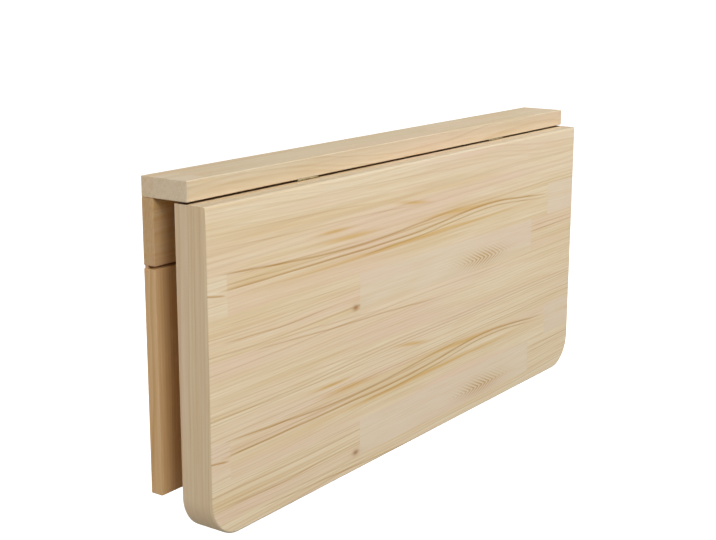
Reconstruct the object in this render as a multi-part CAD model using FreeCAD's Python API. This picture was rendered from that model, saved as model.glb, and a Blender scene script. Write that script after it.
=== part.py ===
"""Wall mounted drop leaf table in edge-glued pine, as separate pieces.

The wall is the plane y = 0 and the table stands out towards -Y. X runs along the
table, Z is up, and the origin is the middle of the wall rail's back face. The leaf
hangs down from two butt hinges under the shelf's front edge. Raised, it is carried
by a stay frame that swings back against the wall stiles, where two slide bolts
shoot out over rest blocks.
"""
import FreeCAD, Part
import math
import os

V = FreeCAD.Vector
SAME_PLACE = 1e-6

# ---- Driving dimensions, millimetres and degrees ----
TABLE_LENGTH = 1000.0
SHELF_DEPTH = 76.0
SHELF_THICKNESS = 27.0
BOARD_EDGE_RADIUS = 2.0
WALL_BOARD_THICKNESS = 19.0
WALL_BOARD_EDGE_RADIUS = 1.5
RAIL_HEIGHT = 88.0
STILE_WIDTH = 110.0
STILE_HEIGHT = 305.0
STILE_GAP = 3.5
LEAF_GAP = 2.4
LEAF_DROP = 441.0
LEAF_CORNER_RADIUS = 55.0
LEAF_BOARD_THICKNESS = 20.0
LEAF_FACE_EDGE_RADIUS = 3.5
BATTEN_DEPTH = 30.0
SIDE_BATTEN_WIDTH = 60.0
LONG_BATTEN_WIDTH = 40.0
BATTEN_EDGE_RADIUS = 2.0
SEAM_RADIUS = 0.6

HINGE_LENGTH = 46.0
HINGE_INSET = 242.0
HINGE_PLATE_WIDTH = 21.0
HINGE_PLATE_THICKNESS = 1.0
KNUCKLE_RADIUS = 1.6
KNUCKLE_COUNT = 5
KNUCKLE_GAP = 0.3
HINGE_PIN_RADIUS = 0.8
HINGE_PIN_CLEARANCE = 0.05
HINGE_PIN_HEAD_RADIUS = 1.4
HINGE_PIN_HEAD_LENGTH = 0.8
KNUCKLE_CLEARANCE = 0.5
HINGE_SCREWS_PER_PLATE = 3
HINGE_SCREW_EDGE = 7.0

STAY_ANGLE = 36.0
STAY_FOOT_CLEARANCE = 4.3
STAY_ARM_INSET = 82.0
STAY_ARM_WIDTH = 24.0
STAY_THICKNESS = 19.0
STAY_BOARD_CLEARANCE = 2.0
STAY_SEAT_CLEARANCE = 0.3
STAY_EDGE_RADIUS = 1.5
STAY_RAIL_HEIGHT = 30.0
STAY_RAIL_SETBACK = 12.0

BRACKET_THICKNESS = 2.5
BRACKET_WIDTH = 24.0
BRACKET_FOOT_LENGTH = 36.0
BRACKET_SIDE_CLEARANCE = 0.4
PIVOT_PIN_RADIUS = 3.0
PIVOT_PIN_CLEARANCE = 0.08
PIVOT_PIN_HEAD_RADIUS = 6.0
PIVOT_PIN_HEAD_LENGTH = 2.5

BOLT_RADIUS = 4.0
BOLT_CLEARANCE = 0.08
BOLT_LENGTH = 88.0
BOLT_TRAVEL = 16.0
BOLT_TIP_SETBACK = 1.0
BOLT_TIP_CHAMFER = 1.0
BOLT_BORE_SPARE = 2.0
BOLT_KNOB_FROM_TIP = 70.0
BOLT_KNOB_STEM_RADIUS = 2.0
BOLT_KNOB_RADIUS = 4.5
BOLT_KNOB_REACH = 17.0
BOLT_KNOB_OVERLAP = 0.45
KNOB_SLOT_CLEARANCE = 0.5

REST_BLOCK_WIDTH = 18.0
REST_BLOCK_HEIGHT = 46.0
REST_BLOCK_DEPTH = 28.0
REST_BLOCK_SIDE_GAP = 3.0
REST_BLOCK_BEVEL = 12.0
REST_BLOCK_SEAT_CLEARANCE = 0.3

BRACE_LEG = 30.0
BRACE_WIDTH = 28.0
BRACE_THICKNESS = 2.0
BRACE_INSET = 170.0
BRACE_SCREW_EDGE = 7.5
BRACE_CORNER_RADIUS = 5.0

DOWEL_RADIUS = 4.0
DOWEL_LENGTH = 34.0
SHELF_DOWEL_OUTER_INSET = 60.0
SHELF_DOWEL_INNER_INSET = 335.0
STAY_DOWEL_RADIUS = 3.0
STAY_DOWEL_LENGTH = 30.0
STAY_DOWEL_EDGE = 5.5
JOINT_CLEARANCE = 0.02
JOINT_END_SPARE = 0.5
SLAT_THICKNESS = 6.0
SLAT_LAP = 12.0
SLAT_END_INSET = 2.0
SLAT_CLEARANCE = 0.02

SCREW_CLEARANCE = 0.03
HINGE_SCREW = (3.2, 1.6, 15.0)
BRACE_SCREW = (3.8, 1.9, 15.0)
BRACKET_SCREW = (3.8, 1.9, 15.0)
BLOCK_SCREW = (4.2, 2.1, 41.0)
BATTEN_SCREW = (4.2, 2.1, 41.0)
BATTEN_SCREW_COUNT = 4

WALL_HOLE_RADIUS = 2.75
WALL_HOLE_HEAD_RADIUS = 5.5
RAIL_HOLE_SPAN = 840.0
RAIL_HOLE_RISE = 50.0
STILE_HOLE_INSET = 75.0
STILE_HOLE_EDGE = 30.0

# ---- Places worked out from the dimensions ----
HALF_LENGTH = TABLE_LENGTH / 2.0
SHELF_BOTTOM = RAIL_HEIGHT / 2.0
SHELF_TOP = SHELF_BOTTOM + SHELF_THICKNESS
STILE_TOP = -RAIL_HEIGHT / 2.0 - STILE_GAP
STILE_BOTTOM = STILE_TOP - STILE_HEIGHT
WALL_BOARD_FRONT = -WALL_BOARD_THICKNESS
HINGE_Y = -SHELF_DEPTH
HINGE_Z = SHELF_BOTTOM - LEAF_GAP / 2.0
LEAF_TOP = SHELF_BOTTOM - LEAF_GAP
LEAF_BOTTOM = LEAF_TOP - LEAF_DROP
LEAF_FRONT = HINGE_Y - (SHELF_TOP - HINGE_Z)
BOARD_BACK = LEAF_FRONT + LEAF_BOARD_THICKNESS
LEAF_BACK = BOARD_BACK + BATTEN_DEPTH
STAY_Y = BOARD_BACK + STAY_BOARD_CLEARANCE + STAY_THICKNESS / 2.0
STAY_OFFSET = STAY_Y - HINGE_Y
STAY_FOOT_RISE = STAY_THICKNESS / 2.0 * math.tan(math.radians(STAY_ANGLE))
SEAT_Y = WALL_BOARD_FRONT - STAY_SEAT_CLEARANCE
STAY_SPACE = (HINGE_Z + SEAT_Y - HINGE_Y - STAY_FOOT_RISE
              - LEAF_BOTTOM - LONG_BATTEN_WIDTH - STAY_FOOT_CLEARANCE)
STAY_LENGTH = STAY_SPACE / (1.0 + math.cos(math.radians(STAY_ANGLE)))
STAY_REACH = STAY_LENGTH * math.cos(math.radians(STAY_ANGLE))
STAY_DROP = STAY_LENGTH * math.sin(math.radians(STAY_ANGLE))
STAY_PIVOT_Z = HINGE_Z - (STAY_REACH - (SEAT_Y - HINGE_Y))
ARM_OUTER = HALF_LENGTH - STAY_ARM_INSET
ARM_INNER = ARM_OUTER - STAY_ARM_WIDTH
STAY_RAIL_LOW = STAY_PIVOT_Z - STAY_LENGTH + STAY_RAIL_SETBACK
STAY_RAIL_TOP = STAY_RAIL_LOW + STAY_RAIL_HEIGHT
BOLT_Z = STAY_RAIL_LOW + STAY_RAIL_HEIGHT / 2.0
BOLT_SETBACK = STAY_RAIL_SETBACK + STAY_RAIL_HEIGHT / 2.0
RAISED_BOLT_Z = HINGE_Z - STAY_OFFSET - STAY_DROP + BOLT_SETBACK * math.sin(math.radians(STAY_ANGLE))
REST_BLOCK_TOP = RAISED_BOLT_Z - BOLT_RADIUS - REST_BLOCK_SEAT_CLEARANCE
BOLT_TIP = ARM_OUTER - BOLT_TIP_SETBACK
BOLT_TAIL = BOLT_TIP - BOLT_LENGTH
HINGE_CENTRES = (HINGE_INSET - HALF_LENGTH, HALF_LENGTH - HINGE_INSET)
BRACE_CENTRES = (BRACE_INSET - HALF_LENGTH, 0.0, HALF_LENGTH - BRACE_INSET)
SIDES = (("left", -1.0), ("right", 1.0))


# ---- Shape helpers ----
def block(x0, x1, y0, y1, z0, z1):
    """Box between three pairs of planes, given in any order."""
    low = V(min(x0, x1), min(y0, y1), min(z0, z1))
    return Part.makeBox(abs(x1 - x0), abs(y1 - y0), abs(z1 - z0), low)


def x_rod(radius, x0, x1, y, z):
    """Round bar along X from x0 to x1."""
    return Part.makeCylinder(radius, abs(x1 - x0), V(min(x0, x1), y, z), V(1, 0, 0))


def eased(shape, radius, wanted):
    """Round the edges that the test picks out by their boxes."""
    edges = [edge for edge in shape.Edges if wanted(edge.BoundBox)]
    return shape.makeFillet(radius, edges)


def on_plane(low, high, value):
    """True where an edge lies in one plane square to an axis."""
    return abs(low - value) < SAME_PLACE and abs(high - value) < SAME_PLACE


def off_wall(box):
    """True for an edge that does not lie on the wall plane."""
    return not on_plane(box.YMin, box.YMax, 0.0)


def screw(size, place, direction, grow=0.0):
    """Countersunk wood screw with its head face at place, pointing along direction."""
    head_radius, shank_radius, length = size
    head = head_radius + grow
    shank = shank_radius + grow
    sink = head_radius - shank_radius
    tip = length + grow
    points = [V(0, 0, 0), V(head, 0, 0), V(shank, 0, sink), V(shank, 0, tip - shank_radius), V(0, 0, tip)]
    wire = Part.makePolygon(points + points[:1])
    body = Part.Face(wire).revolve(V(0, 0, 0), V(0, 0, 1), 360)
    body.Placement = FreeCAD.Placement(V(*place), FreeCAD.Rotation(V(0, 0, 1), V(*direction)))
    return body


def screws(size, seats, grow=0.0):
    """One screw for each (place, direction) seat."""
    return [screw(size, place, direction, grow) for place, direction in seats]


def drilled(shape, size, seats):
    """Shape with a snug hole for each screw."""
    return shape.cut(screws(size, seats, SCREW_CLEARANCE)) if seats else shape


def spread(low, high, count):
    """Evenly spaced stations from low to high."""
    return [low + (high - low) * index / (count - 1) for index in range(count)]


def save(name, shapes):
    """Write one node; several solids make a group."""
    solids = shapes if isinstance(shapes, list) else [shapes]
    shape = solids[0].removeSplitter() if len(solids) == 1 else Part.makeCompound(solids)
    if shape.ShapeType == "Compound" and len(shape.Solids) == 1:
        shape = shape.Solids[0]
    shape.exportStep(os.path.join("parts", name + ".step"))


# ---- Seats of the fasteners ----
def hinge_screw_seats(centre, side):
    """Screw seats of one hinge plate; side is 1 for the shelf's plate, -1 for the leaf's."""
    reach = HINGE_LENGTH / 2.0 - HINGE_SCREW_EDGE
    y = HINGE_Y + KNUCKLE_RADIUS + (HINGE_PLATE_WIDTH - KNUCKLE_RADIUS) / 2.0
    z = HINGE_Z + side * (LEAF_GAP / 2.0 - HINGE_PLATE_THICKNESS)
    return [((x, y, z), (0, 0, side)) for x in spread(centre - reach, centre + reach, HINGE_SCREWS_PER_PLATE)]


def brace_screw_seats(centre):
    """Two seats up into the shelf and two back into the rail for one corner brace."""
    far = BRACE_LEG - BRACE_SCREW_EDGE
    step = BRACE_WIDTH / 2.0 - BRACE_SCREW_EDGE
    shelf_seats = [((centre + s * step, WALL_BOARD_FRONT - far, SHELF_BOTTOM - BRACE_THICKNESS), (0, 0, 1))
                   for s in (-1, 1)]
    rail_seats = [((centre + s * step, WALL_BOARD_FRONT - BRACE_THICKNESS, SHELF_BOTTOM - far), (0, 1, 0))
                  for s in (-1, 1)]
    return shelf_seats + rail_seats


def bracket_screw_seats(side):
    """Two seats in the foot of one stay bracket."""
    inner = ARM_INNER - BRACKET_SIDE_CLEARANCE - BRACKET_THICKNESS
    x = inner - (BRACKET_FOOT_LENGTH - BRACKET_THICKNESS) / 2.0
    rise = BRACKET_WIDTH / 4.0
    y = BOARD_BACK + BRACKET_THICKNESS
    return [((side * x, y, STAY_PIVOT_Z + s * rise), (0, -1, 0)) for s in (-1, 1)]


def block_screw_seats(side):
    """Two seats in the front of one rest block."""
    x = ARM_OUTER + REST_BLOCK_SIDE_GAP + REST_BLOCK_WIDTH / 2.0
    rise = (REST_BLOCK_HEIGHT - REST_BLOCK_BEVEL) / 2.0
    middle = REST_BLOCK_TOP - rise
    y = WALL_BOARD_FRONT - REST_BLOCK_DEPTH
    return [((side * x, y, middle + s * rise / 2.0), (0, 1, 0)) for s in (-1, 1)]


def long_batten_seats(z):
    """Seats along the top or bottom batten."""
    reach = HALF_LENGTH - SIDE_BATTEN_WIDTH - LONG_BATTEN_WIDTH
    return [((x, LEAF_BACK, z), (0, -1, 0)) for x in spread(-reach, reach, BATTEN_SCREW_COUNT)]


def side_batten_seats(side):
    """Seats along one side batten."""
    x = side * (HALF_LENGTH - SIDE_BATTEN_WIDTH / 2.0)
    rise = LEAF_DROP / 2.0 - 2.0 * LONG_BATTEN_WIDTH
    middle = (LEAF_TOP + LEAF_BOTTOM) / 2.0
    return [((x, LEAF_BACK, middle + s * rise), (0, -1, 0)) for s in (-1, 1)]


def all_batten_seats():
    """Every seat that joins the battens to the leaf board."""
    low = LEAF_BOTTOM + LONG_BATTEN_WIDTH / 2.0
    high = LEAF_TOP - LONG_BATTEN_WIDTH / 2.0
    return long_batten_seats(low) + long_batten_seats(high) + side_batten_seats(-1) + side_batten_seats(1)


def wall_hole(x, z):
    """Countersunk through hole for a wall screw, cut from the front of a wall board."""
    hole = Part.makeCylinder(WALL_HOLE_RADIUS, WALL_BOARD_THICKNESS, V(x, 0, z), V(0, -1, 0))
    sink = WALL_HOLE_HEAD_RADIUS - WALL_HOLE_RADIUS
    cone = Part.makeCone(WALL_HOLE_HEAD_RADIUS, WALL_HOLE_RADIUS, sink, V(x, WALL_BOARD_FRONT, z), V(0, 1, 0))
    return hole.fuse(cone)


# ---- Wall side ----
def shelf_dowels(grow=0.0):
    """Dowels that stand in the rail's top edge and the shelf's underside."""
    y = WALL_BOARD_FRONT / 2.0
    half = DOWEL_LENGTH / 2.0 + (JOINT_END_SPARE if grow else 0.0)
    insets = (SHELF_DOWEL_OUTER_INSET, SHELF_DOWEL_INNER_INSET)
    centres = [side * (HALF_LENGTH - inset) for _, side in SIDES for inset in insets]
    return [Part.makeCylinder(DOWEL_RADIUS + grow, 2.0 * half, V(x, y, SHELF_BOTTOM - half))
            for x in centres]


def joint_slats(grow=0.0):
    """Slats let into the backs of rail and stiles, flush with them, that tie them across the shadow gap."""
    outer = HALF_LENGTH - SLAT_END_INSET + grow
    inner = HALF_LENGTH - STILE_WIDTH + SLAT_END_INSET - grow
    front = -SLAT_THICKNESS - grow
    low = STILE_TOP - SLAT_LAP - grow
    high = STILE_TOP + STILE_GAP + SLAT_LAP + grow
    return [block(side * inner, side * outer, front, 0, low, high) for _, side in SIDES]


def knuckle_relief():
    """Room for the hinge barrels in the edges on both sides of the gap."""
    half = HINGE_LENGTH / 2.0 + KNUCKLE_CLEARANCE
    radius = KNUCKLE_RADIUS + KNUCKLE_CLEARANCE
    return [x_rod(radius, centre - half, centre + half, HINGE_Y, HINGE_Z) for centre in HINGE_CENTRES]


def shelf_board():
    """Narrow fixed shelf with eased edges."""
    board = block(-HALF_LENGTH, HALF_LENGTH, -SHELF_DEPTH, 0, SHELF_BOTTOM, SHELF_TOP)
    board = eased(board, BOARD_EDGE_RADIUS, off_wall)
    board = board.cut(knuckle_relief() + shelf_dowels(JOINT_CLEARANCE))
    for centre in HINGE_CENTRES:
        board = drilled(board, HINGE_SCREW, hinge_screw_seats(centre, 1))
    for centre in BRACE_CENTRES:
        board = drilled(board, BRACE_SCREW, brace_screw_seats(centre))
    return board


def wall_rail():
    """Horizontal board screwed to the wall under the shelf."""
    rail = block(-HALF_LENGTH, HALF_LENGTH, WALL_BOARD_FRONT, 0, -RAIL_HEIGHT / 2.0, SHELF_BOTTOM)
    rail = eased(rail, WALL_BOARD_EDGE_RADIUS, off_wall)
    holes = [wall_hole(sx * RAIL_HOLE_SPAN / 2.0, sz * RAIL_HOLE_RISE / 2.0)
             for sx in (-1, 1) for sz in (-1, 1)]
    rail = rail.cut(holes + shelf_dowels(JOINT_CLEARANCE) + joint_slats(SLAT_CLEARANCE))
    for centre in BRACE_CENTRES:
        rail = drilled(rail, BRACE_SCREW, brace_screw_seats(centre))
    return rail


def wall_stile(side):
    """Upright board below the rail, flush with its end and front."""
    outer = side * HALF_LENGTH
    stile = block(outer, outer - side * STILE_WIDTH, WALL_BOARD_FRONT, 0, STILE_BOTTOM, STILE_TOP)
    stile = eased(stile, WALL_BOARD_EDGE_RADIUS, off_wall)
    x = side * (HALF_LENGTH - STILE_HOLE_INSET)
    heights = (STILE_TOP - STILE_HOLE_EDGE, STILE_BOTTOM + STILE_HOLE_EDGE)
    stile = stile.cut([wall_hole(x, z) for z in heights] + joint_slats(SLAT_CLEARANCE))
    return drilled(stile, BLOCK_SCREW, block_screw_seats(side))


def rest_block(side):
    """Hardwood block whose top carries the end of a slide bolt."""
    inner = ARM_OUTER + REST_BLOCK_SIDE_GAP
    front = WALL_BOARD_FRONT - REST_BLOCK_DEPTH
    bottom = REST_BLOCK_TOP - REST_BLOCK_HEIGHT
    outline = [V(0, WALL_BOARD_FRONT, REST_BLOCK_TOP), V(0, front, REST_BLOCK_TOP),
               V(0, front, bottom + REST_BLOCK_BEVEL), V(0, front + REST_BLOCK_BEVEL, bottom),
               V(0, WALL_BOARD_FRONT, bottom)]
    body = Part.Face(Part.makePolygon(outline + outline[:1])).extrude(V(REST_BLOCK_WIDTH, 0, 0))
    body.translate(V(inner if side > 0 else -inner - REST_BLOCK_WIDTH, 0, 0))
    return drilled(body, BLOCK_SCREW, block_screw_seats(side))


def corner_brace(centre):
    """Steel angle between the rail's front and the shelf's underside."""
    half = BRACE_WIDTH / 2.0
    top = block(centre - half, centre + half, WALL_BOARD_FRONT, WALL_BOARD_FRONT - BRACE_LEG,
                SHELF_BOTTOM - BRACE_THICKNESS, SHELF_BOTTOM)
    back = block(centre - half, centre + half, WALL_BOARD_FRONT, WALL_BOARD_FRONT - BRACE_THICKNESS,
                 SHELF_BOTTOM - BRACE_LEG, SHELF_BOTTOM)
    angle = top.fuse(back).removeSplitter()
    tips = (WALL_BOARD_FRONT - BRACE_LEG, SHELF_BOTTOM - BRACE_LEG)
    angle = eased(angle, BRACE_CORNER_RADIUS, lambda box: box.XLength < BRACE_WIDTH / 2.0 and (
        on_plane(box.YMin, box.YMax, tips[0]) or on_plane(box.ZMin, box.ZMax, tips[1])))
    return drilled(angle, BRACE_SCREW, brace_screw_seats(centre))


# ---- Hinges ----
def knuckle_spans(centre):
    """Start and end of each knuckle along the barrel."""
    pitch = HINGE_LENGTH / KNUCKLE_COUNT
    start = centre - HINGE_LENGTH / 2.0
    return [(start + index * pitch + KNUCKLE_GAP / 2.0, start + (index + 1) * pitch - KNUCKLE_GAP / 2.0)
            for index in range(KNUCKLE_COUNT)]


def hinge_plate(centre, side):
    """One leaf of a butt hinge; side is 1 under the shelf and -1 on top of the batten."""
    half = HINGE_LENGTH / 2.0
    outer = HINGE_Z + side * LEAF_GAP / 2.0
    inner = outer - side * HINGE_PLATE_THICKNESS
    reach = half - KNUCKLE_GAP / 2.0
    plate = block(centre - reach, centre + reach, HINGE_Y, HINGE_Y + HINGE_PLATE_WIDTH, inner, outer)
    own = 0 if side > 0 else 1
    room = KNUCKLE_RADIUS + KNUCKLE_CLEARANCE
    for index, (x0, x1) in enumerate(knuckle_spans(centre)):
        if index % 2 == own:
            plate = plate.fuse(x_rod(KNUCKLE_RADIUS, x0, x1, HINGE_Y, HINGE_Z))
        else:
            notch = block(x0 - KNUCKLE_GAP, x1 + KNUCKLE_GAP, HINGE_Y - room, HINGE_Y + room,
                          HINGE_Z - room, HINGE_Z + room)
            plate = plate.cut(notch)
    bore = x_rod(HINGE_PIN_RADIUS + HINGE_PIN_CLEARANCE, centre - half, centre + half, HINGE_Y, HINGE_Z)
    return drilled(plate.cut(bore), HINGE_SCREW, hinge_screw_seats(centre, side))


def hinge_pin(centre):
    """Pin through the barrel, with a low head at each end."""
    half = HINGE_LENGTH / 2.0
    pin = x_rod(HINGE_PIN_RADIUS, centre - half, centre + half, HINGE_Y, HINGE_Z)
    overhang = HINGE_PIN_HEAD_LENGTH - KNUCKLE_GAP / 2.0
    for side in (-1, 1):
        start = centre + side * (half - KNUCKLE_GAP / 2.0)
        pin = pin.fuse(x_rod(HINGE_PIN_HEAD_RADIUS, start, start + side * overhang / 2.0, HINGE_Y, HINGE_Z))
    return pin


# ---- Leaf ----
def leaf_outline(y):
    """Leaf's face: square above, with rounded lower corners."""
    r = LEAF_CORNER_RADIUS
    k = r * (1.0 - math.sqrt(0.5))
    x = HALF_LENGTH
    top = LEAF_TOP
    low = LEAF_BOTTOM
    edges = [Part.LineSegment(V(-x, y, top), V(-x, y, low + r)),
             Part.Arc(V(-x, y, low + r), V(-x + k, y, low + k), V(-x + r, y, low)),
             Part.LineSegment(V(-x + r, y, low), V(x - r, y, low)),
             Part.Arc(V(x - r, y, low), V(x - k, y, low + k), V(x, y, low + r)),
             Part.LineSegment(V(x, y, low + r), V(x, y, top)),
             Part.LineSegment(V(x, y, top), V(-x, y, top))]
    return Part.Face(Part.Wire([edge.toShape() for edge in edges]))


def leaf_board():
    """Front board of the leaf, eased round its face."""
    board = leaf_outline(LEAF_FRONT).extrude(V(0, LEAF_BOARD_THICKNESS, 0))
    board = eased(board, LEAF_FACE_EDGE_RADIUS, lambda box: on_plane(box.YMin, box.YMax, LEAF_FRONT))
    board = eased(board, SEAM_RADIUS, lambda box: on_plane(box.YMin, box.YMax, BOARD_BACK))
    board = board.cut(knuckle_relief())
    board = drilled(board, BATTEN_SCREW, all_batten_seats())
    return drilled(board, BRACKET_SCREW, bracket_screw_seats(-1) + bracket_screw_seats(1))


def batten_ring():
    """Full border behind the board, before it is parted into battens."""
    slab = leaf_outline(BOARD_BACK).extrude(V(0, BATTEN_DEPTH, 0))
    slab = eased(slab, SEAM_RADIUS, lambda box: on_plane(box.YMin, box.YMax, BOARD_BACK))
    slab = eased(slab, BATTEN_EDGE_RADIUS, lambda box: on_plane(box.YMin, box.YMax, LEAF_BACK))
    inner = HALF_LENGTH - SIDE_BATTEN_WIDTH
    return slab.cut(block(-inner, inner, BOARD_BACK, LEAF_BACK,
                          LEAF_BOTTOM + LONG_BATTEN_WIDTH, LEAF_TOP - LONG_BATTEN_WIDTH))


def side_batten(ring, side):
    """Upright member at one end of the leaf."""
    zone = block(-HALF_LENGTH, SIDE_BATTEN_WIDTH - HALF_LENGTH, BOARD_BACK, LEAF_BACK, LEAF_BOTTOM, LEAF_TOP)
    batten = drilled(ring.common(zone), BATTEN_SCREW, side_batten_seats(-1))
    return batten if side < 0 else batten.mirror(V(0, 0, 0), V(1, 0, 0))


def long_batten(ring, low):
    """Member between the side battens, with its lower edge at low."""
    inner = HALF_LENGTH - SIDE_BATTEN_WIDTH
    zone = block(-inner, inner, BOARD_BACK, LEAF_BACK, low, low + LONG_BATTEN_WIDTH)
    return drilled(ring.common(zone), BATTEN_SCREW, long_batten_seats(low + LONG_BATTEN_WIDTH / 2.0))


def top_batten(ring):
    """Batten under the leaf's hinge edge."""
    batten = long_batten(ring, LEAF_TOP - LONG_BATTEN_WIDTH).cut(knuckle_relief())
    for centre in HINGE_CENTRES:
        batten = drilled(batten, HINGE_SCREW, hinge_screw_seats(centre, -1))
    return batten


def stay_bracket(side):
    """Steel angle beside an arm: a foot on the board and a cheek that holds the pivot pin."""
    outer = ARM_INNER - BRACKET_SIDE_CLEARANCE
    inner = outer - BRACKET_THICKNESS
    half = BRACKET_WIDTH / 2.0
    foot = block(outer, outer - BRACKET_FOOT_LENGTH, BOARD_BACK, BOARD_BACK + BRACKET_THICKNESS,
                 STAY_PIVOT_Z - half, STAY_PIVOT_Z + half)
    cheek = block(inner, outer, BOARD_BACK, STAY_Y, STAY_PIVOT_Z - half, STAY_PIVOT_Z + half)
    eye = x_rod(half, inner, outer, STAY_Y, STAY_PIVOT_Z)
    cheek = cheek.fuse(eye.common(block(inner, outer, BOARD_BACK, STAY_Y + half, STAY_PIVOT_Z - half,
                                        STAY_PIVOT_Z + half)))
    bracket = foot.fuse(cheek).removeSplitter()
    bracket = bracket.cut(x_rod(PIVOT_PIN_RADIUS + SCREW_CLEARANCE, inner, outer, STAY_Y, STAY_PIVOT_Z))
    if side < 0:
        bracket = bracket.mirror(V(0, 0, 0), V(1, 0, 0))
    return drilled(bracket, BRACKET_SCREW, bracket_screw_seats(side))


def pivot_pin(side):
    """Headed pin through an arm, riveted over behind the bracket's cheek."""
    head = ARM_OUTER + BRACKET_SIDE_CLEARANCE
    tail = ARM_INNER - BRACKET_SIDE_CLEARANCE - BRACKET_THICKNESS
    pin = x_rod(PIVOT_PIN_RADIUS, tail, head, STAY_Y, STAY_PIVOT_Z)
    pin = pin.fuse(x_rod(PIVOT_PIN_HEAD_RADIUS, head, head + PIVOT_PIN_HEAD_LENGTH, STAY_Y, STAY_PIVOT_Z))
    rivet = (PIVOT_PIN_RADIUS + PIVOT_PIN_HEAD_RADIUS) / 2.0
    pin = pin.fuse(x_rod(rivet, tail - BRACKET_THICKNESS / 2.0, tail, STAY_Y, STAY_PIVOT_Z))
    return pin if side > 0 else pin.mirror(V(0, 0, 0), V(1, 0, 0))


# ---- Stay frame and its bolts ----
def stay_arm(side):
    """Arm with a round pivot end and a foot mitred to stand upright against the stile."""
    half = STAY_THICKNESS / 2.0
    rise = STAY_FOOT_RISE
    foot = STAY_PIVOT_Z - STAY_LENGTH
    lines = [Part.Arc(V(0, STAY_Y - half, STAY_PIVOT_Z), V(0, STAY_Y, STAY_PIVOT_Z + half),
                      V(0, STAY_Y + half, STAY_PIVOT_Z)),
             Part.LineSegment(V(0, STAY_Y + half, STAY_PIVOT_Z), V(0, STAY_Y + half, foot + rise)),
             Part.LineSegment(V(0, STAY_Y + half, foot + rise), V(0, STAY_Y - half, foot - rise)),
             Part.LineSegment(V(0, STAY_Y - half, foot - rise), V(0, STAY_Y - half, STAY_PIVOT_Z))]
    profile = Part.Face(Part.Wire([line.toShape() for line in lines]))
    arm = profile.extrude(V(STAY_ARM_WIDTH, 0, 0))
    arm.translate(V(ARM_INNER, 0, 0))
    arm = eased(arm, STAY_EDGE_RADIUS, lambda box: on_plane(box.XMin, box.XMax, box.XMin))
    arm = arm.cut([x_rod(PIVOT_PIN_RADIUS + PIVOT_PIN_CLEARANCE, ARM_INNER, ARM_OUTER, STAY_Y, STAY_PIVOT_Z),
                   x_rod(BOLT_RADIUS + BOLT_CLEARANCE, ARM_INNER, ARM_OUTER, STAY_Y, BOLT_Z)])
    arm = arm.cut(stay_dowels_at(1, JOINT_CLEARANCE))
    return arm if side > 0 else arm.mirror(V(0, 0, 0), V(1, 0, 0))


def stay_dowels_at(side, grow=0.0):
    """Two dowels between one arm and the stay rail, one each side of the bolt."""
    half = STAY_DOWEL_LENGTH / 2.0 + (JOINT_END_SPARE if grow else 0.0)
    heights = (STAY_RAIL_LOW + STAY_DOWEL_EDGE, STAY_RAIL_TOP - STAY_DOWEL_EDGE)
    return [x_rod(STAY_DOWEL_RADIUS + grow, side * (ARM_INNER - half), side * (ARM_INNER + half), STAY_Y, z)
            for z in heights]


def knob_slot(side):
    """Slot in the stay rail's lower edge for the bolt's knob."""
    out = BOLT_KNOB_STEM_RADIUS + KNOB_SLOT_CLEARANCE
    x = BOLT_TIP - BOLT_KNOB_FROM_TIP
    half = BOLT_KNOB_STEM_RADIUS + KNOB_SLOT_CLEARANCE
    return block(side * (x - out), side * (x + BOLT_TRAVEL + out), STAY_Y - half, STAY_Y + half,
                 STAY_RAIL_LOW, BOLT_Z)


def stay_rail():
    """Cross rail between the arms, bored at each end for a bolt."""
    half = STAY_THICKNESS / 2.0
    rail = block(-ARM_INNER, ARM_INNER, STAY_Y - half, STAY_Y + half, STAY_RAIL_LOW, STAY_RAIL_TOP)
    rail = eased(rail, STAY_EDGE_RADIUS, lambda box: box.XLength > TABLE_LENGTH / 2.0)
    cuts = []
    for _, side in SIDES:
        end = side * (BOLT_TAIL - BOLT_BORE_SPARE)
        cuts.append(x_rod(BOLT_RADIUS + BOLT_CLEARANCE, end, side * ARM_INNER, STAY_Y, BOLT_Z))
        cuts.append(knob_slot(side))
        cuts += stay_dowels_at(side, JOINT_CLEARANCE)
    return rail.cut(cuts)


def slide_bolt(side):
    """Steel rod with a ball knob, drawn back into the stay."""
    rod = x_rod(BOLT_RADIUS, BOLT_TAIL, BOLT_TIP, STAY_Y, BOLT_Z)
    rod = rod.makeChamfer(BOLT_TIP_CHAMFER, [edge for edge in rod.Edges
                                             if on_plane(edge.BoundBox.XMin, edge.BoundBox.XMax, BOLT_TIP)])
    x = BOLT_TIP - BOLT_KNOB_FROM_TIP
    stem = Part.makeCylinder(BOLT_KNOB_STEM_RADIUS, BOLT_KNOB_REACH, V(x, STAY_Y, BOLT_Z), V(0, 0, -1))
    knob_drop = BOLT_KNOB_REACH + BOLT_KNOB_RADIUS - BOLT_KNOB_OVERLAP
    knob = Part.makeSphere(BOLT_KNOB_RADIUS, V(x, STAY_Y, BOLT_Z - knob_drop))
    bolt = rod.fuse([stem, knob])
    return bolt if side > 0 else bolt.mirror(V(0, 0, 0), V(1, 0, 0))


# ---- Assembly ----
def save_wall_side():
    """Shelf, rail, stiles and all that is fixed to them."""
    save("shelf_board", shelf_board())
    save("wall_rail", wall_rail())
    for name, side in SIDES:
        save(name + "_wall_stile", wall_stile(side))
        save(name + "_rest_block", rest_block(side))
    for name, centre in zip(("left", "middle", "right"), BRACE_CENTRES):
        save(name + "_corner_brace", corner_brace(centre))
    save("shelf_dowels", shelf_dowels())
    save("joint_slats", joint_slats())
    save("corner_brace_screws", [s for c in BRACE_CENTRES for s in screws(BRACE_SCREW, brace_screw_seats(c))])
    save("rest_block_screws", [s for _, d in SIDES for s in screws(BLOCK_SCREW, block_screw_seats(d))])


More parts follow.
